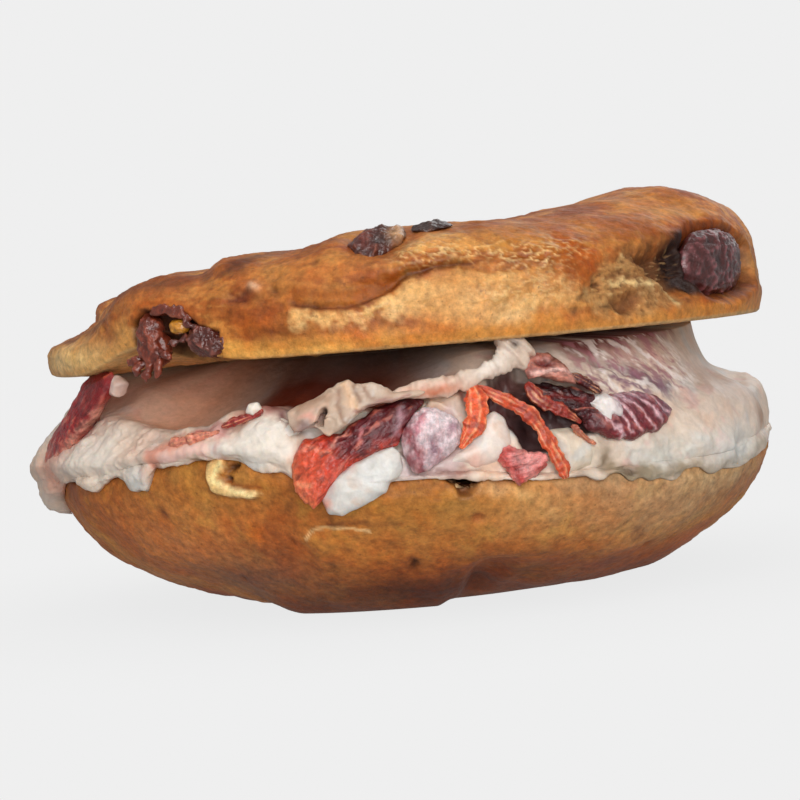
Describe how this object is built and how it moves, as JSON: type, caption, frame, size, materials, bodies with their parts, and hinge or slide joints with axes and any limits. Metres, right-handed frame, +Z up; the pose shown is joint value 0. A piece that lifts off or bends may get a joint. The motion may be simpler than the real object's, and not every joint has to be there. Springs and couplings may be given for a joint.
{
  "type": "bagel sandwich",
  "caption": "Fruited bagel split in two and filled with soft cheese, cut strawberries and shreds, with raisins set in its crust.",
  "frame": {"origin": "middle of the footprint of the whole sandwich, on the surface that it rests on", "axes": "+Z up through the bagel's hole, -Y out of the front that the picture shows, +X to the picture's right"},
  "size_m": [0.1112, 0.1096, 0.0561],
  "materials": {
    "crust": "satin",
    "soft_cheese": "satin",
    "strawberry": "gloss",
    "raisin": "satin",
    "sultana": "gloss"
  },
  "bodies": {
    "root": {"lower_bagel": "crust", "upper_bagel": "crust", "soft_cheese": "soft_cheese", "strawberry_left": "strawberry", "strawberry_front": "strawberry", "strawberry_coated": "strawberry", "strawberry_dark": "strawberry", "strawberry_rib": "strawberry", "strawberry_right": "strawberry", "strawberry_jelly": "strawberry", "strawberry_far_right": "strawberry", "strawberry_back_right": "strawberry", "strawberry_back": "strawberry", "strawberry_back_left": "strawberry", "shred_upright": "strawberry", "shred_long": "strawberry", "shred_short": "strawberry", "shred_left": "strawberry", "raisin_left": "raisin", "raisin_left_inner": "raisin", "raisin_left_arch": "raisin", "raisin_crest": "raisin", "raisin_crest_small": "raisin", "raisin_right": "raisin", "raisin_back_top": "raisin", "raisin_back_side": "raisin", "raisin_left_top": "raisin", "raisin_lower_back": "raisin", "sultana_left": "sultana"}
  },
  "joints": []
}
